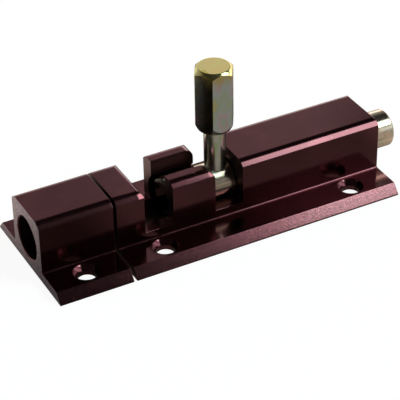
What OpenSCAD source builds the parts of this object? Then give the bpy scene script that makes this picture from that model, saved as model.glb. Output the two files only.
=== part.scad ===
// Surface door bolt: an extruded case and its keeper, a round bolt rod and a screwed-in handle.
// The bolt throws towards -X and the door is the plane z = 0. The origin is the middle of
// the case's four screw holes, on the door. The handle stands up in the rear notch.

/* [Extruded section] */
// Width of the flange beside the barrel, on each side
flange_w = 8.4; // [7.4:0.1:12]
// Thickness of the flange
flange_t = 2.2; // [1.8:0.1:3]
// Height of the upright land at the flange's outer edge
edge_land = 0.3; // [0.2:0.1:0.8]
// Width of the bevel that runs up from that land
edge_bevel = 1.7; // [0.6:0.1:2]
// Thinnest wall between the bore and the barrel's side
wall_t = 2.1; // [1.4:0.1:3]
// Thinnest wall between the bore and the barrel's top
roof_t = 2.4; // [1.6:0.1:3.5]
// Width of the chamfer along the barrel's top edges, seen from above
chamfer_w = 1.3; // [0.8:0.1:2]
// Height of that chamfer
chamfer_h = 1.1; // [0.5:0.1:1.3]
// Radius that rounds the chamfer into the flat top
crown_r = 2; // [0.5:0.1:2.2]
// Radius of the fillet where the barrel's side meets the flange
foot_fillet = 0.4; // [0.2:0.1:0.8]

/* [Case along its length] */
// Length of the front guide, where the bolt comes out
front_guide = 6.2; // [5:0.1:9]
// Length of the middle guide, between the two notches
middle_guide = 9.6; // [7:0.1:14]
// Length of the rear guide, which holds the bolt at all times
rear_guide = 32.3; // [24:0.1:45]
// Height of the notch floor over the door
notch_floor = 4.1; // [3:0.1:4.2]
// Rounding of the front guide's rear top corner
front_round = 1.2; // [0.4:0.1:2]
// Rounding of the middle guide's rear top corner
middle_round = 2; // [0.4:0.1:3]
// Rounding of the rear guide's rear top corner
rear_round = 0.6; // [0.3:0.1:2]

/* [Keeper] */
// Length of the keeper
keeper_len = 15.8; // [12:0.1:24]
// Gap between the keeper and the case, door closed
keeper_gap = 0.6; // [0.3:0.1:3]

/* [Bolt rod] */
// Diameter of the rod
rod_d = 8; // [7:0.1:10]
// Gap between the rod and its bore, all round
rod_clearance = 0.5; // [0.2:0.05:0.8]
// Chamfer at both ends of the rod
rod_chamfer = 0.4; // [0.2:0.1:0.8]
// How far the withdrawn rod's tip lies inside the middle guide
tip_inset = 0.6; // [0.3:0.1:3]
// How far the withdrawn rod's rear end stands out of the case
rear_proud = 6; // [3:0.1:12]
// Deburring chamfer at the mouths of the bores
mouth_chamfer = 0.25; // [0.1:0.05:0.6]

/* [Handle] */
// Diameter of the stud that joins the knob to the rod
stud_d = 4.5; // [3.5:0.1:5.5]
// Gap between the stud and the slot's walls, on each side
slot_clearance = 0.75; // [0.3:0.05:1.2]
// Gap between the stud and the notch's walls, on each side of the notch's middle
notch_clearance = 0.85; // [0.5:0.05:1.4]
// Gap between the parked stud and the rear guide
parked_gap = 0.55; // [0.3:0.05:0.85]
// Gap between the stud's foot and the rod
foot_gap = 0.03; // [0.01:0.01:0.1]
// Height of the knob's near face over the rod's axis
knob_start = 12.8; // [11:0.1:18]
// Length of the knob
knob_len = 14; // [10:0.1:20]
// Width of the knob's hexagon across its flats
knob_flats = 7.5; // [6.5:0.1:9]
// Turn of the hexagon from the rod's direction, in degrees
knob_turn = -1.4; // [-30:0.1:30]
// Diameter of the flat face at the knob's near end
near_face_d = 6.9; // [6:0.1:7.3]
// Length of the taper that is turned on the hexagon's corners at the near end
near_taper = 1.7; // [0.5:0.1:2.5]
// Diameter of the flat face at the knob's far end
far_face_d = 6.6; // [5:0.1:7.3]
// Length of the taper that is turned on the hexagon's corners at the far end
far_taper = 1; // [0.5:0.1:2]
// Depth that the stud reaches into the knob
stud_depth = 7; // [4:0.5:8]
// Gap between the stud and the knob's hole, all round
stud_fit = 0.02; // [0.01:0.01:0.1]
// Countersink at the mouth of the knob's hole
knob_mouth = 0.3; // [0.1:0.1:0.6]

/* [Screw holes] */
// Diameter of the screw holes
hole_d = 3.7; // [3:0.1:4.2]
// Diameter of the countersink at the flange's top
countersink_d = 5.3; // [4.6:0.1:6]
// Depth of the countersink
countersink_depth = 1.1; // [0.5:0.1:1.5]
// Distance from a hole's centre to the flange's outer edge
hole_edge = 5; // [4.5:0.1:5.2]
// Distance from the case's ends to its holes
hole_inset = 8.7; // [5:0.1:12]

/* [Hidden] */

ROUND = 96;
// How far a cutter runs past the face that it opens
PAST = 1;
BROWN = [0.28, 0.15, 0.16];
STEEL = [0.80, 0.77, 0.66];
GILT = [0.68, 0.64, 0.38];

rod_r = rod_d / 2;
bore_r = rod_r + rod_clearance;
axis_z = flange_t + bore_r;
barrel_w = 2 * (bore_r + wall_t);
barrel_h = axis_z + bore_r + roof_t;
chamfer_slope = atan2(chamfer_h, chamfer_w);
// How far the rounding reaches along the flat top, and down the chamfer
crown_reach = crown_r * tan(chamfer_slope / 2);
plate_w = barrel_w + 2 * flange_w;
hole_y = plate_w / 2 - hole_edge;

notch_len = stud_d + 2 * notch_clearance;
slot_w = stud_d + 2 * slot_clearance;
case_len = front_guide + middle_guide + rear_guide + 2 * notch_len;

// Stations along the case, from its front face
case_front = -case_len / 2;
front_notch = case_front + front_guide;
middle_start = front_notch + notch_len;
rear_notch = middle_start + middle_guide;
rear_start = rear_notch + notch_len;
case_rear = case_len / 2;
keeper_front = case_front - keeper_gap - keeper_len;

stud_x = rear_start - parked_gap - stud_d / 2;
rod_tip = middle_start + tip_inset;
rod_end = case_rear + rear_proud;
knob_r = knob_flats / sqrt(3);

// Lays a drawing of the section, across and up, along X from one station to another
module along(start, end) {
    translate([start, 0, 0])
        rotate([90, 0, 90])
            linear_extrude(end - start)
                children();
}

module flange_section() {
    half = plate_w / 2;
    polygon([
        [-half, 0], [half, 0], [half, edge_land], [half - edge_bevel, flange_t],
        [edge_bevel - half, flange_t], [-half, edge_land]
    ]);
}

module both_sides() {
    children();
    mirror([1, 0])
        children();
}

// What the rounding takes away where the flat top meets the chamfer
module crown_waste() {
    start = barrel_w / 2 - chamfer_w - crown_reach;
    stop = [barrel_w / 2 - chamfer_w + crown_reach * cos(chamfer_slope),
            barrel_h - crown_reach * sin(chamfer_slope)];
    difference() {
        polygon([
            [start, barrel_h], [start, barrel_h + PAST],
            stop + PAST * [sin(chamfer_slope), cos(chamfer_slope)], stop
        ]);
        translate([start, barrel_h - crown_r])
            circle(crown_r, $fn = ROUND);
    }
}

module barrel_section() {
    half = barrel_w / 2;
    difference() {
        polygon([
            [-half, 0], [half, 0], [half, barrel_h - chamfer_h], [half - chamfer_w, barrel_h],
            [chamfer_w - half, barrel_h], [-half, barrel_h - chamfer_h]
        ]);
        both_sides()
            crown_waste();
    }
}

module foot_fillet() {
    difference() {
        translate([barrel_w / 2, flange_t])
            square(foot_fillet);
        translate([barrel_w / 2 + foot_fillet, flange_t + foot_fillet])
            circle(foot_fillet, $fn = ROUND);
    }
}

module section() {
    flange_section();
    barrel_section();
    both_sides()
        foot_fillet();
}

// One guide seen from the side, with its rear top corner rounded
module guide_side(start, end, round_r) {
    difference() {
        translate([start, 0])
            square([end - start, barrel_h]);
        difference() {
            translate([end - round_r, barrel_h - round_r])
                square(round_r + PAST);
            translate([end - round_r, barrel_h - round_r])
                circle(round_r, $fn = ROUND);
        }
    }
}

module case_side() {
    translate([case_front, 0])
        square([case_len, notch_floor]);
    guide_side(case_front, front_notch, front_round);
    guide_side(middle_start, rear_notch, middle_round);
    guide_side(rear_start, case_rear, rear_round);
}

module bore(start, end) {
    translate([start, 0, axis_z])
        rotate([0, 90, 0]) {
            translate([0, 0, -PAST])
                cylinder(r = bore_r, h = end - start + 2 * PAST, $fn = ROUND);
            cylinder(r1 = bore_r + mouth_chamfer, r2 = bore_r, h = mouth_chamfer, $fn = ROUND);
            translate([0, 0, end - start - mouth_chamfer])
                cylinder(r1 = bore_r, r2 = bore_r + mouth_chamfer, h = mouth_chamfer, $fn = ROUND);
        }
}

// Countersunk holes in both flanges, at one station
module screw_holes(x) {
    for (side = [-1, 1])
        translate([x, side * hole_y, 0]) {
            translate([0, 0, -PAST])
                cylinder(d = hole_d, h = flange_t + 2 * PAST, $fn = ROUND);
            translate([0, 0, flange_t - countersink_depth])
                cylinder(d1 = hole_d, d2 = countersink_d, h = countersink_depth, $fn = ROUND);
        }
}

module case() {
    color(BROWN)
        difference() {
            intersection() {
                along(case_front, case_rear)
                    section();
                rotate([90, 0, 0])
                    linear_extrude(plate_w + 2 * PAST, center = true)
                        case_side();
            }
            bore(case_front, case_rear);
            translate([middle_start - PAST, -slot_w / 2, axis_z])
                cube([middle_guide + 2 * PAST, slot_w, barrel_h]);
            screw_holes(case_front + hole_inset);
            screw_holes(case_rear - hole_inset);
        }
}

module keeper() {
    keeper_rear = keeper_front + keeper_len;
    color(BROWN)
        difference() {
            along(keeper_front, keeper_rear)
                section();
            bore(keeper_front, keeper_rear);
            screw_holes((keeper_front + keeper_rear) / 2);
        }
}

module bolt_rod() {
    length = rod_end - rod_tip;
    color(STEEL)
        translate([rod_tip, 0, axis_z])
            rotate([0, 90, 0])
                rotate_extrude($fn = ROUND)
                    polygon([
                        [0, 0], [rod_r - rod_chamfer, 0], [rod_r, rod_chamfer],
                        [rod_r, length - rod_chamfer], [rod_r - rod_chamfer, length], [0, length]
                    ]);
}

// The stud's foot is hollowed to the rod's round, and its other end is in the knob
module handle_stud() {
    color(STEEL)
        difference() {
            translate([stud_x, 0, axis_z])
                cylinder(d = stud_d, h = knob_start + stud_depth, $fn = ROUND);
            translate([stud_x - stud_d, 0, axis_z])
                rotate([0, 90, 0])
                    cylinder(r = rod_r + foot_gap, h = 2 * stud_d, $fn = ROUND);
        }
}

// The turned blank that limits the hexagon. Each taper runs from its flat face to the
// hexagon's corners, and on for the same distance.
module knob_blank() {
    near_r = near_face_d / 2;
    far_r = far_face_d / 2;
    rotate_extrude($fn = ROUND)
        polygon([
            [0, 0], [near_r, 0], [2 * knob_r - near_r, 2 * near_taper],
            [2 * knob_r - far_r, knob_len - 2 * far_taper], [far_r, knob_len], [0, knob_len]
        ]);
}

module knob() {
    hole_r = stud_d / 2 + stud_fit;
    color(GILT)
        translate([stud_x, 0, axis_z + knob_start])
            difference() {
                intersection() {
                    rotate([0, 0, knob_turn])
                        cylinder(r = knob_r, h = knob_len, $fn = 6);
                    knob_blank();
                }
                translate([0, 0, -PAST])
                    cylinder(r = hole_r, h = stud_depth + PAST, $fn = ROUND);
                cylinder(r1 = hole_r + knob_mouth, r2 = hole_r, h = knob_mouth, $fn = ROUND);
            }
}

case();
keeper();
bolt_rod();
handle_stud();
knob();
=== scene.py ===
"""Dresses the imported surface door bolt: its pieces, finishes, floor, lights and camera."""

import math

import bmesh
import bpy
from mathutils import Matrix, Vector


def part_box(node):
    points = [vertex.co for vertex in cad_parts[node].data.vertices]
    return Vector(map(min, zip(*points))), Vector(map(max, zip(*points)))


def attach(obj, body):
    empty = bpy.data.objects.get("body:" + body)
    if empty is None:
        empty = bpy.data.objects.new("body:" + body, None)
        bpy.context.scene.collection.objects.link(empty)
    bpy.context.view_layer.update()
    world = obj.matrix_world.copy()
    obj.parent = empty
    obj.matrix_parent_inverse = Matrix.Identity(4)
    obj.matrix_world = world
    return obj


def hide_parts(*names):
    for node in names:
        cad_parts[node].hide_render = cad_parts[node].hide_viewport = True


bl_info = {
    "name": "Surface Door Bolt",
    "version": (1, 0, 0),
    "blender": (4, 5, 0),
    "location": "View3D > Sidebar > Door Bolt",
    "description": "Models and finishes a small surface door bolt on its packed frame",
    "category": "Object",
}

MM = 0.001
# Steps in a full turn: of the holes and the stud, of most shapes, and of the rod
COARSE_ROUND = 64
ROUND = 96
FINE_ROUND = 128
# Steps in the round parts of the outlines
FILLET_STEPS = 6
CROWN_STEPS = 8
CORNER_STEPS = 10
# How far a cutting shape runs past the face that it opens
PAST = 1 * MM
# Points of a turned shape's pole, and of a cut piece, that are closer than this are one point
POLE_MERGE = 0.001 * MM
CUT_MERGE = 0.002 * MM
# Faces that turn less than this are one flat face, in degrees
FLAT_TURN = 0.5
# Slanted, so that no two places of a symmetrical piece tie
SORT_LINE = Vector((1, 0.6131, 0.2719))
# A face is square to an axis if its normal has more of it than this
SQUARE = 0.9
# A face slants upwards if its normal has more of Z than this, and it isn't square to Z
SLANTED = 0.2
# How far the middle of a face may lie from the wall that it belongs to, and from a sawn end
WALL_REACH = 0.05 * MM
END_REACH = 0.2 * MM
# Width of the camera's sensor in millimetres
SENSOR = 36

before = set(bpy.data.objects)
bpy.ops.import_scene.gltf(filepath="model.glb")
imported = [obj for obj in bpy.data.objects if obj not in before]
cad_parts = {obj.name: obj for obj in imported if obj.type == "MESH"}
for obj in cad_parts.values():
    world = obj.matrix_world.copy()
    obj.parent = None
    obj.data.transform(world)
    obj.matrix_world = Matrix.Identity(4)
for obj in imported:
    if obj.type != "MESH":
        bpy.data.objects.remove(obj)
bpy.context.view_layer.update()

case_low, case_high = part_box("case")
keeper_low, keeper_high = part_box("keeper")
rod_low, rod_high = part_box("bolt_rod")
stud_low, stud_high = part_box("handle_stud")
knob_low, knob_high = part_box("knob")

ROD_AXIS_Z = (rod_low.z + rod_high.z) / 2
STUD_X = (stud_low.x + stud_high.x) / 2


class SectionSizes(bpy.types.PropertyGroup):
    """The extruded section that the case and the keeper share"""

    flange_thickness: bpy.props.FloatProperty(
        name="Flange thickness", description="Thickness of the flange",
        default=2.2 * MM, unit="LENGTH")
    edge_land: bpy.props.FloatProperty(
        name="Edge land", description="Upright part of the flange's outer edge",
        default=0.3 * MM, unit="LENGTH")
    edge_bevel: bpy.props.FloatProperty(
        name="Edge bevel", description="Width of the bevel above the land",
        default=1.7 * MM, unit="LENGTH")
    barrel_width: bpy.props.FloatProperty(
        name="Barrel width", description="Width of the barrel",
        default=13.2 * MM, unit="LENGTH")
    chamfer_width: bpy.props.FloatProperty(
        name="Chamfer width", description="Top chamfer seen from above",
        default=1.3 * MM, unit="LENGTH")
    chamfer_height: bpy.props.FloatProperty(
        name="Chamfer height", description="Top chamfer seen from the side",
        default=1.1 * MM, unit="LENGTH")
    crown_radius: bpy.props.FloatProperty(
        name="Crown radius", description="Rounds the chamfer into the top",
        default=2 * MM, unit="LENGTH")
    foot_fillet: bpy.props.FloatProperty(
        name="Foot fillet", description="Fillet at the barrel's foot",
        default=0.4 * MM, unit="LENGTH")
    bore_radius: bpy.props.FloatProperty(
        name="Bore radius", description="Radius of the bore for the rod",
        default=4.5 * MM, unit="LENGTH")
    mouth_chamfer: bpy.props.FloatProperty(
        name="Mouth chamfer", description="Chamfer at the bore's mouths",
        default=0.25 * MM, unit="LENGTH")
    edge_wear: bpy.props.FloatProperty(
        name="Edge wear", description="Rounding that tumbling leaves on the edges",
        default=0.09 * MM, unit="LENGTH")


class CaseSizes(bpy.types.PropertyGroup):
    """Where the case is notched, slotted and drilled"""

    front_guide: bpy.props.FloatProperty(
        name="Front guide", description="Length of the front guide",
        default=6.2 * MM, unit="LENGTH")
    middle_guide: bpy.props.FloatProperty(
        name="Middle guide", description="Length of the middle guide",
        default=9.6 * MM, unit="LENGTH")
    notch: bpy.props.FloatProperty(
        name="Notch", description="Length of each notch",
        default=6.2 * MM, unit="LENGTH")
    notch_floor: bpy.props.FloatProperty(
        name="Notch floor", description="Height of the notches' floor",
        default=4.1 * MM, unit="LENGTH")
    slot_width: bpy.props.FloatProperty(
        name="Slot width", description="Width of the slot for the stud",
        default=6 * MM, unit="LENGTH")
    front_round: bpy.props.FloatProperty(
        name="Front rounding", description="Rear top corner of the front guide",
        default=1.2 * MM, unit="LENGTH")
    middle_round: bpy.props.FloatProperty(
        name="Middle rounding", description="Rear top corner of the middle guide",
        default=2 * MM, unit="LENGTH")
    rear_round: bpy.props.FloatProperty(
        name="Rear rounding", description="Rear top corner of the rear guide",
        default=0.6 * MM, unit="LENGTH")


class HoleSizes(bpy.types.PropertyGroup):
    """The countersunk screw holes"""

    hole_radius: bpy.props.FloatProperty(
        name="Hole radius", description="Radius of the screw holes",
        default=1.85 * MM, unit="LENGTH")
    sink_radius: bpy.props.FloatProperty(
        name="Countersink radius", description="Radius at the flange's top",
        default=2.65 * MM, unit="LENGTH")
    sink_depth: bpy.props.FloatProperty(
        name="Countersink depth", description="Depth of the countersink",
        default=1.1 * MM, unit="LENGTH")
    edge_distance: bpy.props.FloatProperty(
        name="Edge distance", description="From a hole to the flange's edge",
        default=5 * MM, unit="LENGTH")
    end_distance: bpy.props.FloatProperty(
        name="End distance", description="From a hole to the case's end",
        default=8.7 * MM, unit="LENGTH")


class HandleSizes(bpy.types.PropertyGroup):
    """The rod, the stud and the knob"""

    rod_chamfer: bpy.props.FloatProperty(
        name="Rod chamfer", description="Chamfer at the rod's ends",
        default=0.4 * MM, unit="LENGTH")
    knob_flats: bpy.props.FloatProperty(
        name="Knob flats", description="Knob's width across its flats",
        default=7.5 * MM, unit="LENGTH")
    knob_turn: bpy.props.FloatProperty(
        name="Knob turn", description="Turn of the hexagon",
        default=math.radians(-1.4), unit="ROTATION")
    near_face: bpy.props.FloatProperty(
        name="Near face", description="Radius of the near end's flat",
        default=3.45 * MM, unit="LENGTH")
    near_taper: bpy.props.FloatProperty(
        name="Near taper", description="Turned taper at the stud's end",
        default=1.7 * MM, unit="LENGTH")
    far_face: bpy.props.FloatProperty(
        name="Far face", description="Radius of the far end's flat",
        default=3.3 * MM, unit="LENGTH")
    far_taper: bpy.props.FloatProperty(
        name="Far taper", description="Turned taper at the far end",
        default=1 * MM, unit="LENGTH")
    knob_mouth: bpy.props.FloatProperty(
        name="Knob mouth", description="Countersink of the knob's hole",
        default=0.3 * MM, unit="LENGTH")
    stud_depth: bpy.props.FloatProperty(
        name="Stud depth", description="How deep the stud is in the knob",
        default=7 * MM, unit="LENGTH")
    foot_gap: bpy.props.FloatProperty(
        name="Foot gap", description="Gap between the stud's foot and the rod",
        default=0.03 * MM, unit="LENGTH")
    hole_gap: bpy.props.FloatProperty(
        name="Hole gap", description="Gap between the stud and the knob's hole",
        default=0.02 * MM, unit="LENGTH")
    rod_ease: bpy.props.FloatProperty(
        name="Rod ease", description="Rounding of the rod's edges",
        default=0.08 * MM, unit="LENGTH")
    stud_ease: bpy.props.FloatProperty(
        name="Stud ease", description="Rounding of the stud's edges",
        default=0.05 * MM, unit="LENGTH")
    knob_ease: bpy.props.FloatProperty(
        name="Knob ease", description="Rounding of the knob's edges",
        default=0.10 * MM, unit="LENGTH")


class FinishColours(bpy.types.PropertyGroup):
    """Colours of the finishes"""

    anodised: bpy.props.FloatVectorProperty(
        name="Anodised", description="Brown of the anodised faces",
        subtype="COLOR", default=(0.152, 0.050, 0.060))
    sawn: bpy.props.FloatVectorProperty(
        name="Sawn", description="Grey mauve of the sawn ends",
        subtype="COLOR", default=(0.43, 0.36, 0.41))
    plated: bpy.props.FloatVectorProperty(
        name="Plated", description="Pale cream of the plated rod",
        subtype="COLOR", default=(0.64, 0.58, 0.46))
    floor: bpy.props.FloatVectorProperty(
        name="Floor", description="Grey of the floor under its glow",
        subtype="COLOR", default=(0.20, 0.20, 0.20))


class StageSettings(bpy.types.PropertyGroup):
    """The camera and the lights"""

    azimuth: bpy.props.FloatProperty(
        name="Azimuth", description="Camera's azimuth",
        default=math.radians(-27.45), unit="ROTATION")
    elevation: bpy.props.FloatProperty(
        name="Elevation", description="Camera's elevation",
        default=math.radians(34.63), unit="ROTATION")
    roll: bpy.props.FloatProperty(
        name="Roll", description="Camera's roll",
        default=math.radians(-1.07), unit="ROTATION")
    distance: bpy.props.FloatProperty(
        name="Distance", description="Camera's distance from its aim",
        default=352.8 * MM, unit="LENGTH")
    aim: bpy.props.FloatVectorProperty(
        name="Aim", description="Point that the camera faces",
        default=(-10.56 * MM, -4.13 * MM, 6 * MM), subtype="XYZ", unit="LENGTH")
    lens: bpy.props.FloatProperty(
        name="Lens", description="Focal length on a 36 mm sensor",
        default=157.57, unit="CAMERA")
    key_radiance: bpy.props.FloatProperty(
        name="Key", description="Radiance of the key light",
        default=5.2)
    floor_glow: bpy.props.FloatProperty(
        name="Floor glow", description="What the floor gives off, unless metal mirrors it",
        default=0.93)
    floor_size: bpy.props.FloatProperty(
        name="Floor size", description="From the floor's middle to its edges",
        default=2.0, unit="LENGTH")
    floor_drop: bpy.props.FloatProperty(
        name="Floor drop", description="Keeps the floor clear of the bolt's base",
        default=0.02 * MM, unit="LENGTH")


def settings(name):
    """One group of the scene's settings."""
    return getattr(bpy.context.scene, name)


# Meshes

def new_bmesh(points, closed=True):
    """A bmesh of a few points in order, joined by edges, and closed to a face if asked."""
    bm = bmesh.new()
    verts = [bm.verts.new(p) for p in points]
    if closed:
        bm.faces.new(verts)
    else:
        for a, b in zip(verts, verts[1:]):
            bm.edges.new((a, b))
    return bm


def arc(centre, radius, start, end, steps):
    """Points along an arc, from one angle to another, in degrees."""
    angles = [math.radians(start + (end - start) * i / steps) for i in range(steps + 1)]
    return [(centre[0] + radius * math.cos(a), centre[1] + radius * math.sin(a)) for a in angles]


def prism(points, travel):
    """A closed solid: a flat outline of 3D points, drawn out along a vector."""
    bm = new_bmesh(points)
    made = bmesh.ops.extrude_face_region(bm, geom=bm.faces[:], use_keep_orig=True)
    moved = [e for e in made["geom"] if isinstance(e, bmesh.types.BMVert)]
    bmesh.ops.translate(bm, vec=travel, verts=moved)
    bmesh.ops.recalc_face_normals(bm, faces=bm.faces[:])
    return bm


def turned(profile, place, steps=ROUND):
    """A closed turned solid: (radius, height) points spun about Z and put in place by a matrix."""
    bm = new_bmesh([(r, 0, h) for r, h in profile], closed=False)
    bmesh.ops.spin(bm, geom=bm.verts[:] + bm.edges[:], cent=(0, 0, 0), axis=(0, 0, 1), dvec=(0, 0, 0),
                   angle=math.tau, steps=steps, use_merge=True, use_duplicate=False)
    bmesh.ops.remove_doubles(bm, verts=bm.verts[:], dist=POLE_MERGE)
    bmesh.ops.recalc_face_normals(bm, faces=bm.faces[:])
    bmesh.ops.transform(bm, matrix=place, verts=bm.verts[:])
    return bm


def join(solids):
    """One bmesh that holds several separate solids."""
    whole = solids[0]
    for solid in solids[1:]:
        part = bpy.data.meshes.new("part")
        solid.to_mesh(part)
        solid.free()
        whole.from_mesh(part)
        bpy.data.meshes.remove(part)
    return whole


def to_object(bm, name):
    """Puts a bmesh in the scene as an object, and frees it."""
    mesh = bpy.data.meshes.new(name)
    bm.to_mesh(mesh)
    bm.free()
    piece = bpy.data.objects.new(name, mesh)
    bpy.context.scene.collection.objects.link(piece)
    return piece


def apply_modifiers(piece):
    """Swaps the piece's mesh for the one that its modifiers make."""
    bpy.context.view_layer.update()
    graph = bpy.context.evaluated_depsgraph_get()
    made = bpy.data.meshes.new_from_object(piece.evaluated_get(graph), depsgraph=graph)
    old = piece.data
    piece.modifiers.clear()
    piece.data = made
    bpy.data.meshes.remove(old)
    made.name = piece.name


def cut(piece, cutter_bmesh, operation="DIFFERENCE"):
    """Takes the cutter away from the piece, or keeps what they share."""
    cutter = to_object(cutter_bmesh, "cutter")
    change = piece.modifiers.new("cut", "BOOLEAN")
    change.operation = operation
    change.solver = "EXACT"
    change.object = cutter
    apply_modifiers(piece)
    mesh = cutter.data
    bpy.data.objects.remove(cutter)
    bpy.data.meshes.remove(mesh)


def put_in_order(bm):
    """Sorts a mesh along a slanted line, so that the steps that follow go the same way in every run."""
    bm.verts.sort(key=lambda v: v.co.dot(SORT_LINE))
    bm.edges.sort(key=lambda e: (e.verts[0].co + e.verts[1].co).dot(SORT_LINE))
    bm.faces.sort(key=lambda f: f.calc_center_median().dot(SORT_LINE))


def weld(piece):
    """Merges doubles and dissolves the seams that cutting leaves in flat faces."""
    bm = bmesh.new()
    bm.from_mesh(piece.data)
    put_in_order(bm)
    bmesh.ops.remove_doubles(bm, verts=bm.verts[:], dist=CUT_MERGE)
    bmesh.ops.dissolve_degenerate(bm, edges=bm.edges[:], dist=CUT_MERGE)
    bmesh.ops.dissolve_limit(bm, angle_limit=math.radians(FLAT_TURN), verts=bm.verts[:], edges=bm.edges[:])
    bmesh.ops.recalc_face_normals(bm, faces=bm.faces[:])
    bm.to_mesh(piece.data)
    bm.free()


def ease_edges(piece, width, angle=28):
    """Rounds every edge that turns more than an angle in degrees. Large faces lead the shading."""
    piece.data.shade_smooth()
    bevel = piece.modifiers.new("ease", "BEVEL")
    bevel.width = width
    bevel.segments = 2
    bevel.limit_method = "ANGLE"
    bevel.angle_limit = math.radians(angle)
    bevel.use_clamp_overlap = False
    bevel.miter_outer = "MITER_ARC"
    shade = piece.modifiers.new("shade", "WEIGHTED_NORMAL")
    shade.mode = "FACE_AREA"
    shade.weight = 100
    apply_modifiers(piece)


def dress(piece, node, body):
    """Puts a piece in the place of a node, on a body."""
    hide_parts(node)
    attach(piece, body)


# Shader nodes

class Level:
    """A number that varies over a surface. Python arithmetic on it adds Math nodes."""

    def __init__(self, finish, socket):
        self.finish = finish
        self.socket = socket

    def _maths(self, operation, *values):
        return self.finish.level("ShaderNodeMath", {"operation": operation}, dict(enumerate(values)))

    def __add__(self, other):
        return self._maths("ADD", self, other)

    __radd__ = __add__

    def __mul__(self, other):
        return self._maths("MULTIPLY", self, other)

    __rmul__ = __mul__

    def __sub__(self, other):
        return self._maths("SUBTRACT", self, other)

    def __rsub__(self, other):
        return self._maths("SUBTRACT", other, self)

    def __pow__(self, other):
        return self._maths("POWER", self, other)

    def between(self, low, high):
        """0 below low, 1 above high and a smooth rise between."""
        return self.finish.level("ShaderNodeMapRange", {"interpolation_type": "SMOOTHSTEP"},
                                 {"Value": self, "From Min": low, "From Max": high})


class Finish:
    """The nodes of a material or of the world."""

    def __init__(self, tree):
        self.tree = tree
        tree.nodes.clear()

    @classmethod
    def material(cls, name):
        """The finish of a new material."""
        made = bpy.data.materials.new(name)
        made.use_nodes = True
        finish = cls(made.node_tree)
        finish.made = made
        return finish

    def add(self, kind, options=None, values=None):
        """Adds a node, sets its options first and then the values or links of its sockets."""
        node = self.tree.nodes.new(kind)
        for key, value in (options or {}).items():
            if key == "stops":
                self._set_stops(node.color_ramp, value)
            else:
                setattr(node, key, value)
        for key, value in (values or {}).items():
            socket = node.inputs[key]
            value = getattr(value, "socket", value)
            if isinstance(value, bpy.types.NodeSocket):
                self.tree.links.new(value, socket)
            elif hasattr(value, "__len__") and len(value) == 3 and len(socket.default_value) == 4:
                socket.default_value = (*value, 1)
            else:
                socket.default_value = value
        return node

    @staticmethod
    def _set_stops(ramp, stops):
        while len(ramp.elements) > 1:
            ramp.elements.remove(ramp.elements[-1])
        for n, (place, colour) in enumerate(stops):
            stop = ramp.elements[0] if n == 0 else ramp.elements.new(place)
            stop.position = place
            stop.color = (*colour, 1)

    def level(self, kind, options=None, values=None):
        """A node's first output as a level."""
        return Level(self, self.add(kind, options, values).outputs[0])

    def parts(self, vector):
        """The X, Y and Z of a vector, as levels."""
        node = self.add("ShaderNodeSeparateXYZ", None, {"Vector": vector})
        return [Level(self, output) for output in node.outputs]

    def place(self, scale=(1, 1, 1)):
        """Object coordinates in millimetres, squeezed along each axis by a scale."""
        where = self.add("ShaderNodeTexCoord").outputs["Object"]
        return self.add("ShaderNodeVectorMath", {"operation": "MULTIPLY"},
                        {0: where, 1: [s / MM for s in scale]}).outputs[0]

    def noise(self, size, scale=(1, 1, 1), detail=2.0, rough=0.5):
        """Noise from 0 to 1 whose grains are about size millimetres across."""
        return self.level("ShaderNodeTexNoise", None, {
            "Vector": self.place(scale), "Scale": 1 / size, "Detail": detail, "Roughness": rough})

    def blend(self, share, first, second):
        """A colour between two."""
        return self.add("ShaderNodeMix", {"data_type": "RGBA"},
                        {"Factor": share, "A": first, "B": second}).outputs["Result"]

    def ramp(self, level, stops):
        """A colour from a row of stops, each with its place and its colour."""
        return self.add("ShaderNodeValToRGB", {"stops": stops}, {"Fac": level}).outputs["Color"]

    def scaled(self, level, colour):
        """A colour times a level, which may be above 1."""
        return self.add("ShaderNodeVectorMath", {"operation": "SCALE"},
                        {"Vector": colour, "Scale": level}).outputs["Vector"]

    def summed(self, first, second):
        """The sum of two colours."""
        return self.add("ShaderNodeVectorMath", None, {0: first, 1: second}).outputs["Vector"]

    def bump(self, height, depth):
        """A bumped normal whose full height is depth millimetres."""
        return self.add("ShaderNodeBump", None, {"Height": height, "Distance": depth * MM}).outputs["Normal"]

    def metal(self, colour, roughness, normal, coat=0.0, coat_roughness=0.05):
        """Ends the material as a metal, and returns it."""
        shader = self.add("ShaderNodeBsdfPrincipled", None, {
            "Base Color": colour, "Roughness": roughness, "Metallic": 1.0, "Normal": normal,
            "Coat Weight": coat, "Coat Roughness": coat_roughness})
        self.add("ShaderNodeOutputMaterial", None, {"Surface": shader.outputs[0]})
        return self.made


def guide_ends():
    """Stations where the front and the middle guide end, in millimetres."""
    c = settings("bolt_case")
    first = case_low.x + c.front_guide
    return first / MM, (first + c.notch + c.middle_guide) / MM


def anodised_finish():
    """Dark brown anodised extrusion: faint lines, fine grain, a few specks and rubbed guide ends."""
    finish = Finish.material("dark_anodised")
    brown = Vector(settings("bolt_colours").anodised)
    cloud = finish.noise(9, detail=3)
    lines = finish.noise(0.35, scale=(0.02, 1, 1), detail=3)
    grain = finish.noise(0.16, detail=2)
    dust = finish.noise(0.30, detail=0).between(0.81, 0.85)
    colour = finish.blend(cloud.between(0.35, 0.7), brown * 0.86, brown * 1.16)
    colour = finish.blend(dust * 0.5, colour, (0.40, 0.32, 0.32))
    rough = 0.09 + lines * 0.05 + grain * 0.04
    along, _, up = finish.parts(finish.place())
    rubbed = sum(along.between(end - 1.3, end + 0.5) * (1 - along.between(end + 1, end + 3))
                 for end in guide_ends())
    rubbed *= up.between(4, 12)
    # Heights in millimetres
    height = lines * 0.001 + grain * 0.001 - rubbed * 0.12
    return finish.metal(colour, rough, finish.bump(height, 1), coat=0.25, coat_roughness=0.08)


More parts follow.
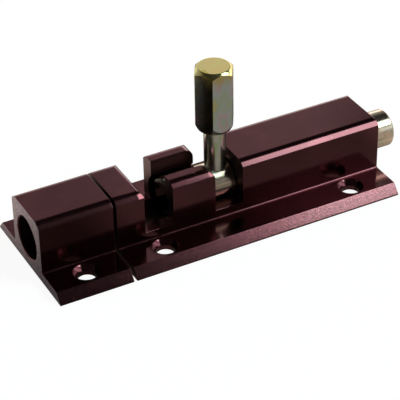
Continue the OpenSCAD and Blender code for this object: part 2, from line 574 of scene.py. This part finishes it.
def grained_finish():
    """The flange's bevelled edge, which keeps the die's coarser grain."""
    finish = Finish.material("grained_edge")
    brown = Vector(settings("bolt_colours").anodised)
    grain = finish.noise(0.30, detail=3, rough=0.65)
    colour = finish.blend(grain.between(0.38, 0.66), brown * 0.80, brown * 1.45)
    normal = finish.bump(grain, 0.011)
    return finish.metal(colour, 0.09 + grain * 0.05, normal, coat=0.4, coat_roughness=0.10)


def sawn_finish():
    """Sawn ends: grey mauve and dull, with fine saw lines and specks."""
    finish = Finish.material("sawn_end")
    mauve = Vector(settings("bolt_colours").sawn)
    specks = finish.noise(0.28, detail=4, rough=0.7)
    lines = finish.noise(0.22, scale=(1, 1, 0.06), detail=2)
    colour = finish.blend(specks.between(0.38, 0.64), mauve * 0.62, mauve * 1.38)
    normal = finish.bump(specks * 0.6 + lines * 0.4, 0.03)
    return finish.metal(colour, 0.46 + specks * 0.12, normal)


def milled_and_shaded_finish():
    """Milled notch faces, anodised after cutting: smooth, with faint cutter lines, and a darker brown that
    is painted shade.
    """
    finish = Finish.material("milled_notch_painted_shade")
    brown = Vector(settings("bolt_colours").anodised)
    lines = finish.noise(0.30, scale=(1, 1, 0.05), detail=2)
    # Painted shade: the anodised brown darkened to 0.35 to 0.65 stands in for the shade on the end faces in
    # the notches and in the gap at the keeper
    colour = finish.blend(finish.noise(2.5), brown * 0.35, brown * 0.65)
    normal = finish.bump(lines, 0.006)
    return finish.metal(colour, 0.28 + lines * 0.10, normal)


def bored_and_shaded_finish():
    """Walls of the bore and the slot: dull, and dark, with the dark painted as the shade inside them."""
    finish = Finish.material("dull_bore_painted_shade")
    lines = finish.noise(0.30, scale=(1, 0.3, 0.3), detail=2)
    # Painted shade: a near black brown stands in for the shade inside the bore and the slot
    colour = finish.blend(finish.noise(2.5), (0.050, 0.020, 0.020), (0.080, 0.032, 0.034))
    return finish.metal(colour, 0.36 + lines * 0.12, finish.bump(lines, 0.006))


def plated_finish():
    """Turned steel with pale yellow zinc plating, mottled, and drawn lines along the rod."""
    finish = Finish.material("zinc_plate")
    cream = Vector(settings("bolt_colours").plated)
    mottle = finish.noise(1.6, scale=(0.6, 1, 1), detail=4, rough=0.6)
    lines = finish.noise(0.25, scale=(0.08, 1, 1), detail=3, rough=0.6)
    olive, copper = (0.62, 0.60, 0.46), (0.80, 0.60, 0.50)
    brass, pale = (0.52, 0.50, 0.34), (0.76, 0.70, 0.64)
    tint = finish.ramp(mottle, [(0.30, cream), (0.45, olive), (0.55, copper), (0.66, brass), (0.80, pale)])
    rough = 0.12 + lines * 0.08 + mottle * 0.04
    normal = finish.bump(lines * 0.7 + mottle * 0.3, 0.004)
    return finish.metal(tint, rough, normal)


def clear_zinc_finish():
    """The stud: pale zinc with faint green and straw."""
    finish = Finish.material("clear_zinc")
    cloud = finish.noise(1.1, scale=(1, 1, 0.25), detail=3)
    fine = finish.noise(0.4, scale=(1, 1, 0.15), detail=3)
    pale, green, white = (0.92, 0.96, 0.88), (0.70, 0.90, 0.48), (0.95, 0.96, 0.96)
    straw, grey = (0.94, 0.95, 0.62), (0.86, 0.90, 0.84)
    tint = finish.ramp(cloud, [(0.30, pale), (0.42, green), (0.52, white), (0.62, straw), (0.74, grey)])
    return finish.metal(tint, 0.16 + fine * 0.12, finish.bump(fine, 0.006))


def turned_and_shaded_end_finish():
    """The rod's faced tip: steel with turning rings, with a near black colour that is painted shade."""
    finish = Finish.material("turned_end")
    _, across, up = finish.parts(finish.place())
    up = up - ROD_AXIS_Z / MM
    radius = (across * across + up * up) ** 0.5
    rings = finish.level("ShaderNodeMath", {"operation": "SINE"}, {0: radius * 18})
    # Painted shade: near black steel stands in for the shade on the rod's tip
    colour = finish.blend(finish.noise(1.2), (0.025, 0.022, 0.014), (0.060, 0.052, 0.036))
    return finish.metal(colour, 0.12 + rings * 0.03, finish.bump(rings, 0.002))


def passivated_finish():
    """The knob: yellow passivated zinc with soft green, pink and straw tints."""
    finish = Finish.material("yellow_passivate")
    cloud = finish.noise(3.2, scale=(1, 1, 0.55), detail=3, rough=0.55)
    fine = finish.noise(0.5, detail=3, rough=0.6)
    across, deep, height = finish.parts(finish.place())
    across = across - STUD_X / MM
    radius = (across * across + deep * deep) ** 0.5
    straw, mint, ice = (0.98, 0.94, 0.48), (0.78, 0.96, 0.74), (0.86, 0.95, 0.96)
    pink, green = (1.00, 0.80, 0.87), (0.76, 0.95, 0.80)
    tint = finish.ramp(cloud, [(0.28, straw), (0.40, mint), (0.50, ice), (0.59, pink), (0.70, green)])
    # A painted dark reflection: one flat is darkened next to the edge that it shares with the next flat
    painted_dark_ridge = across.between(-4.3, -2.8) * (1 - across.between(-2.3, -2.2)) * (1 - deep.between(-1.0, 0.0))
    tint = finish.blend(painted_dark_ridge, tint, finish.blend(fine, (0.07, 0.06, 0.03), (0.24, 0.23, 0.14)))
    # The far end is yellow, and the end at the stud is brown round a green ring
    far_end = (height + cloud * 6).between(33.0, 36.5)
    tint = finish.blend(far_end * 0.8, tint, (0.94, 0.80, 0.22))
    low = knob_low.z / MM
    stud_end = 1 - height.between(low + 0.05, low + 0.3)
    tint = finish.blend(stud_end, tint, (0.30, 0.24, 0.07))
    tint = finish.blend(stud_end * (1 - radius.between(2.7, 3.1)), tint, (0.86, 0.96, 0.14))
    normal = finish.bump(fine * 0.6 + cloud * 0.4, 0.02)
    return finish.metal(tint, 0.12 + fine * 0.12, normal)


# Materials, by the function that makes each
MADE = {}
# The finishes of the case and the keeper, in the order of their slots
FACE_FINISHES = (anodised_finish, grained_finish, sawn_finish, milled_and_shaded_finish, bored_and_shaded_finish)
ANODISED, GRAINED, SAWN, MILLED, BORED = range(len(FACE_FINISHES))


def paint(piece, finish):
    """Adds a finish to a piece, and makes its material only once."""
    if finish not in MADE:
        MADE[finish] = finish()
    piece.data.materials.append(MADE[finish])


# The pieces

def section_outline(x):
    """Corners of the extruded section at one station, round the outside."""
    s = settings("bolt_section")
    width = case_high.y
    top = case_high.z
    barrel = s.barrel_width / 2
    flange = s.flange_thickness
    half = [(width, 0), (width, s.edge_land), (width - s.edge_bevel, flange)]
    half += arc((barrel + s.foot_fillet, flange + s.foot_fillet), s.foot_fillet, 270, 180, FILLET_STEPS)
    slope = math.atan2(s.chamfer_height, s.chamfer_width)
    crown = barrel - s.chamfer_width - s.crown_radius * math.tan(slope / 2)
    half += [(barrel, top - s.chamfer_height)]
    half += arc((crown, top - s.crown_radius), s.crown_radius, 90 - math.degrees(slope), 90, CROWN_STEPS)
    outline = half + [(-y, z) for y, z in reversed(half)]
    return [(x, y, z) for y, z in outline]


def along_x(x):
    """Lays a turned shape's own height along X, starting at a station on the rod's axis."""
    return Matrix.Translation((x, 0, ROD_AXIS_Z)) @ Matrix.Rotation(math.pi / 2, 4, "Y")


def bore_cutter(start, end):
    """The bore between two stations, with its mouth chamfers."""
    s = settings("bolt_section")
    r, c = s.bore_radius, s.mouth_chamfer
    length = end - start
    profile = [(0, -PAST), (r + c, -PAST), (r + c, 0), (r, c), (r, length - c), (r + c, length),
               (r + c, length + PAST), (0, length + PAST)]
    return turned(profile, along_x(start))


def hole_cutter(x):
    """Both countersunk holes at one station."""
    h = settings("bolt_holes")
    top = settings("bolt_section").flange_thickness
    profile = [(0, -PAST), (h.hole_radius, -PAST), (h.hole_radius, top - h.sink_depth), (h.sink_radius, top),
               (h.sink_radius, top + PAST), (0, top + PAST)]
    y = case_high.y - h.edge_distance
    return join([turned(profile, Matrix.Translation((x, side * y, 0)), COARSE_ROUND) for side in (-1, 1)])


def sort_faces(piece, sawn_at):
    """Gives each face its finish: extruded, grained bevel, sawn end, milled or bored."""
    s = settings("bolt_section")
    for finish in FACE_FINISHES:
        paint(piece, finish)
    bevel_start = case_high.y - s.edge_bevel
    slot_half = settings("bolt_case").slot_width / 2 + WALL_REACH
    for face in piece.data.polygons:
        centre, normal = face.center, face.normal
        at_end = abs(centre.x - sawn_at) < END_REACH
        in_bore = math.hypot(centre.y, centre.z - ROD_AXIS_Z) < s.bore_radius + WALL_REACH
        in_slot = abs(centre.y) < slot_half and centre.z > ROD_AXIS_Z and abs(normal.y) > SQUARE
        slanted = SLANTED < normal.z < SQUARE
        if abs(normal.x) > SQUARE and at_end:
            face.material_index = SAWN
        elif abs(normal.x) > SQUARE:
            face.material_index = MILLED
        elif in_bore or in_slot:
            face.material_index = BORED
        elif abs(centre.y) > bevel_start and slanted:
            face.material_index = GRAINED
        else:
            face.material_index = ANODISED


def guide_outline(start, end, radius):
    """Side view of one guide above the notch floor, with its rear top corner rounded."""
    top = case_high.z
    return arc((end - radius, top - radius), radius, 0, 90, CORNER_STEPS) + [(start, top)]


def side_outline():
    """Side view of the case: three guides over one foot."""
    c = settings("bolt_case")
    start, end = case_low.x, case_high.x
    first = start + c.front_guide
    middle = first + c.notch
    second = middle + c.middle_guide
    rear = second + c.notch
    floor = c.notch_floor
    points = [(start, 0), (end, 0)]
    points += guide_outline(rear, end, c.rear_round)
    points += [(rear, floor), (second, floor)]
    points += guide_outline(middle, second, c.middle_round)
    points += [(middle, floor), (first, floor)]
    points += guide_outline(start, first, c.front_round)
    y = case_low.y - PAST
    return [(x, y, z) for x, z in points]


class DOORBOLT_OT_case(bpy.types.Operator):
    """Models the case from its section, notches, slot, bore and screw holes"""

    bl_idname = "doorbolt.case"
    bl_label = "Case"

    def execute(self, context):
        c = settings("bolt_case")
        s = settings("bolt_section")
        h = settings("bolt_holes")
        start, end = case_low.x, case_high.x
        piece = to_object(prism(section_outline(start), (end - start, 0, 0)), "case_body")
        cut(piece, prism(side_outline(), (0, case_high.y - case_low.y + 2 * PAST, 0)), "INTERSECT")
        cut(piece, bore_cutter(start, end))
        middle = start + c.front_guide + c.notch
        low = (middle - PAST, -c.slot_width / 2, ROD_AXIS_Z)
        slot = [low, (low[0] + c.middle_guide + 2 * PAST, low[1], low[2])]
        slot += [(slot[1][0], -low[1], low[2]), (low[0], -low[1], low[2])]
        cut(piece, prism(slot, (0, 0, case_high.z)))
        cut(piece, join([hole_cutter(start + h.end_distance), hole_cutter(end - h.end_distance)]))
        weld(piece)
        ease_edges(piece, s.edge_wear)
        sort_faces(piece, end)
        dress(piece, "case", "case")
        return {"FINISHED"}


class DOORBOLT_OT_keeper(bpy.types.Operator):
    """Models the keeper, a short length of the same section"""

    bl_idname = "doorbolt.keeper"
    bl_label = "Keeper"

    def execute(self, context):
        start, end = keeper_low.x, keeper_high.x
        piece = to_object(prism(section_outline(start), (end - start, 0, 0)), "keeper_body")
        cut(piece, bore_cutter(start, end))
        cut(piece, hole_cutter((start + end) / 2))
        weld(piece)
        ease_edges(piece, settings("bolt_section").edge_wear)
        sort_faces(piece, start)
        dress(piece, "keeper", "case")
        return {"FINISHED"}


class DOORBOLT_OT_rod(bpy.types.Operator):
    """Turns the bolt rod"""

    bl_idname = "doorbolt.rod"
    bl_label = "Bolt rod"

    def execute(self, context):
        c = settings("bolt_handle").rod_chamfer
        r = (rod_high.z - rod_low.z) / 2
        length = rod_high.x - rod_low.x
        profile = [(0, 0), (r - c, 0), (r, c), (r, length - c), (r - c, length), (0, length)]
        piece = to_object(turned(profile, along_x(rod_low.x), FINE_ROUND), "rod_body")
        ease_edges(piece, settings("bolt_handle").rod_ease)
        paint(piece, plated_finish)
        paint(piece, turned_and_shaded_end_finish)
        for face in piece.data.polygons:
            # The tip and its chamfer take the second finish, which is painted dark as shade
            face.material_index = int(face.normal.x < -0.5)
        dress(piece, "bolt_rod", "bolt")
        return {"FINISHED"}


class DOORBOLT_OT_handle(bpy.types.Operator):
    """Models the stud and the hexagonal knob"""

    bl_idname = "doorbolt.handle"
    bl_label = "Handle"

    def execute(self, context):
        h = settings("bolt_handle")
        rod_r = (rod_high.z - rod_low.z) / 2
        stud_r = (stud_high.x - stud_low.x) / 2
        upright = Matrix.Translation((STUD_X, 0, 0))
        profile = [(0, ROD_AXIS_Z), (stud_r, ROD_AXIS_Z), (stud_r, stud_high.z), (0, stud_high.z)]
        stud = to_object(turned(profile, upright, COARSE_ROUND), "stud_body")
        # The foot is hollowed by a bar that is as long as two studs are wide
        saddle = rod_r + h.foot_gap
        bar = [(0, 0), (saddle, 0), (saddle, 4 * stud_r), (0, 4 * stud_r)]
        cut(stud, turned(bar, along_x(STUD_X - 2 * stud_r), FINE_ROUND))
        weld(stud)
        ease_edges(stud, h.stud_ease)
        paint(stud, clear_zinc_finish)
        dress(stud, "handle_stud", "handle")

        corner_r = h.knob_flats / math.sqrt(3)
        low, high = knob_low.z, knob_high.z
        # The hexagon runs past both ends of the turned blank, so that no two faces coincide
        angles = [h.knob_turn + n * math.pi / 3 for n in range(6)]
        hexagon = [(STUD_X + corner_r * math.cos(a), corner_r * math.sin(a), low - PAST) for a in angles]
        knob = to_object(prism(hexagon, (0, 0, high - low + 2 * PAST)), "knob_body")
        blank = [(0, low), (h.near_face, low), (2 * corner_r - h.near_face, low + 2 * h.near_taper),
                 (2 * corner_r - h.far_face, high - 2 * h.far_taper), (h.far_face, high), (0, high)]
        cut(knob, turned(blank, upright), "INTERSECT")
        hole_r = stud_r + h.hole_gap
        hole = [(0, low - PAST), (hole_r + h.knob_mouth, low - PAST), (hole_r + h.knob_mouth, low),
                (hole_r, low + h.knob_mouth), (hole_r, low + h.stud_depth), (0, low + h.stud_depth)]
        cut(knob, turned(hole, upright))
        weld(knob)
        ease_edges(knob, h.knob_ease, angle=18)
        paint(knob, passivated_finish)
        dress(knob, "knob", "handle")
        return {"FINISHED"}


# The stage

def direction(azimuth, elevation):
    """Unit vector towards an azimuth, 0 at the front and 90 at the right, and an elevation, in degrees."""
    a, e = math.radians(azimuth), math.radians(elevation)
    return Vector((math.sin(a) * math.cos(e), -math.cos(a) * math.cos(e), math.sin(e)))


def soft_lamp(name, azimuth, elevation, distance, width, height, radiance):
    """An oval lamp that faces the bolt."""
    lamp = bpy.data.lights.new(name, "AREA")
    lamp.shape = "ELLIPSE"
    lamp.size = width
    lamp.size_y = height
    area = width * height * math.pi / 4
    lamp.energy = radiance * math.pi * area
    holder = bpy.data.objects.new(name, lamp)
    towards = direction(azimuth, elevation)
    facing = towards.to_track_quat("Z", "Y").to_matrix()
    holder.matrix_world = Matrix.Translation(towards * distance) @ facing.to_4x4()
    bpy.context.scene.collection.objects.link(holder)


def light_world(world):
    """White to the camera. Else a soft key at the right, a lit backdrop, a dark ceiling and front."""
    world.use_nodes = True
    air = Finish(world.node_tree)
    # The parts of a ray's direction, from -1 to 1
    across, back, up = air.parts(air.add("ShaderNodeTexCoord").outputs["Generated"])
    # The backdrop is brightest at the right, and darkens upwards
    behind = back.between(0.05, 0.5)
    right = across.between(0.2, 0.5)
    past_left = across.between(-0.62, -0.52)
    horizon = (1 - up.between(0.25, 0.52)) * (0.12 + past_left * 0.34 + right * 0.60)
    sweep = (1 - up.between(0.58, 0.80)) * (0.27 + right * 0.27 - across.between(0.452, 0.49) * 0.50)
    # The front is dark, apart from two patches at the right
    front = 1 - behind
    near_right = front * (1 - up.between(0.30, 0.50)) * across.between(0.36, 0.50)
    far_right = front * across.between(0.462, 0.478) * up.between(0.10, 0.40) * (1 - up.between(0.50, 0.53))
    # The key is high at the front right, and its left edge slants
    left_edge = (across + up * 0.15).between(0.502, 0.542)
    key = left_edge * up.between(0.580, 0.606) * (1 - up.between(0.82, 0.86))
    key = key * (1 - back.between(-0.30, -0.16)) * settings("bolt_stage").key_radiance
    soft = air.scaled(0.03 + near_right * 0.5 + far_right * 1.2, (1, 1, 1))
    warm = air.scaled(behind * (horizon + sweep), (1, 0.92, 0.87))
    hard = air.scaled(key, (1, 1.26, 1.21))
    light = air.summed(air.summed(soft, warm), hard)
    dim = air.add("ShaderNodeBackground", None, {"Color": light, "Strength": 1.0})
    bright = air.add("ShaderNodeBackground", None, {"Color": (1, 1, 1), "Strength": 1.0})
    camera_ray = air.add("ShaderNodeLightPath").outputs["Is Camera Ray"]
    both = air.add("ShaderNodeMixShader", None, {0: camera_ray, 1: dim.outputs[0], 2: bright.outputs[0]})
    air.add("ShaderNodeOutputWorld", None, {"Surface": both.outputs[0]})


def floor_finish():
    """A white floor to the camera, with a trace of shadow, and a dim one in reflections."""
    finish = Finish.material("pale_floor")
    grey = settings("bolt_colours").floor
    glow = settings("bolt_stage").floor_glow
    # Zones of the floor, in millimetres, as they are mirrored: painted patches of light and shade that only
    # reflections see
    across, deep, _ = finish.parts(finish.place())
    far_left = 1 - across.between(-48, -46)
    beyond = far_left * (deep.between(-6, 13) * 0.30 + deep.between(14, 20) * 0.5)
    beyond += (1 - far_left) * (1 - across.between(-22, -18)) * deep.between(14, 20) * 0.95
    beyond += across.between(-20, 60) * deep.between(60, 200) * 0.5
    near = across.between(-34, -20) * (1 - deep.between(-10, 0)) * 0.13
    right = across.between(34, 44) * 0.27 + across.between(31, 34) * deep.between(-13, -9) * 0.22
    seen = finish.scaled(0.05 + near + beyond + right, (1, 0.88, 0.74))
    diffuse = finish.add("ShaderNodeBsdfDiffuse", None, {"Color": grey})
    light = finish.add("ShaderNodeEmission", None, {"Color": (1, 1, 1), "Strength": glow})
    paper = finish.add("ShaderNodeAddShader", None, {0: diffuse.outputs[0], 1: light.outputs[0]})
    mirrored = finish.add("ShaderNodeEmission", None, {"Color": seen})
    glossy_ray = finish.add("ShaderNodeLightPath").outputs["Is Glossy Ray"]
    both = finish.add("ShaderNodeMixShader", None,
                      {0: glossy_ray, 1: paper.outputs[0], 2: mirrored.outputs[0]})
    finish.add("ShaderNodeOutputMaterial", None, {"Surface": both.outputs[0]})
    return finish.made


class DOORBOLT_OT_stage(bpy.types.Operator):
    """Adds the floor, the lights and the camera"""

    bl_idname = "doorbolt.stage"
    bl_label = "Stage"

    def execute(self, context):
        s = settings("bolt_stage")
        scene = context.scene
        scene.view_settings.view_transform = "Standard"

        bm = bmesh.new()
        bmesh.ops.create_grid(bm, x_segments=1, y_segments=1, size=s.floor_size)
        floor = to_object(bm, "floor")
        floor.location.z = -s.floor_drop
        floor.data.materials.append(floor_finish())

        scene.world = scene.world or bpy.data.worlds.new("studio")
        light_world(scene.world)
        soft_lamp("rim_lamp", azimuth=138, elevation=12, distance=0.9, width=0.40, height=0.16, radiance=1.5)

        back = direction(math.degrees(s.azimuth), math.degrees(s.elevation))
        right = (-back).cross(Vector((0, 0, 1))).normalized()
        up = right.cross(-back)
        turn = Matrix((right * math.cos(s.roll) + up * math.sin(s.roll),
                       up * math.cos(s.roll) - right * math.sin(s.roll), back)).transposed()
        view = bpy.data.cameras.new("view")
        view.sensor_width = SENSOR
        view.lens = s.lens
        view.clip_start = 10 * MM
        camera = bpy.data.objects.new("view", view)
        place = Vector(s.aim) + back * s.distance
        camera.matrix_world = Matrix.Translation(place) @ turn.to_4x4()
        scene.collection.objects.link(camera)
        scene.camera = camera
        return {"FINISHED"}


class DOORBOLT_PT_panel(bpy.types.Panel):
    """Lists the operators in the order in which they run"""

    bl_idname = "DOORBOLT_PT_panel"
    bl_label = "Door Bolt"
    bl_space_type = "VIEW_3D"
    bl_region_type = "UI"
    bl_category = "Door Bolt"

    def draw(self, context):
        for operator in OPERATORS:
            self.layout.operator(operator.bl_idname)


GROUPS = {
    "bolt_section": SectionSizes,
    "bolt_case": CaseSizes,
    "bolt_holes": HoleSizes,
    "bolt_handle": HandleSizes,
    "bolt_colours": FinishColours,
    "bolt_stage": StageSettings,
}
OPERATORS = (DOORBOLT_OT_stage, DOORBOLT_OT_case, DOORBOLT_OT_keeper, DOORBOLT_OT_rod, DOORBOLT_OT_handle)


def register():
    for cls in (*GROUPS.values(), *OPERATORS, DOORBOLT_PT_panel):
        bpy.utils.register_class(cls)
    for name, group in GROUPS.items():
        setattr(bpy.types.Scene, name, bpy.props.PointerProperty(type=group))


def unregister():
    for name in GROUPS:
        delattr(bpy.types.Scene, name)
    for cls in reversed((*GROUPS.values(), *OPERATORS, DOORBOLT_PT_panel)):
        bpy.utils.unregister_class(cls)


def main():
    register()
    bpy.ops.doorbolt.stage()
    bpy.ops.doorbolt.case()
    bpy.ops.doorbolt.keeper()
    bpy.ops.doorbolt.rod()
    bpy.ops.doorbolt.handle()


if __name__ == "__main__":
    main()
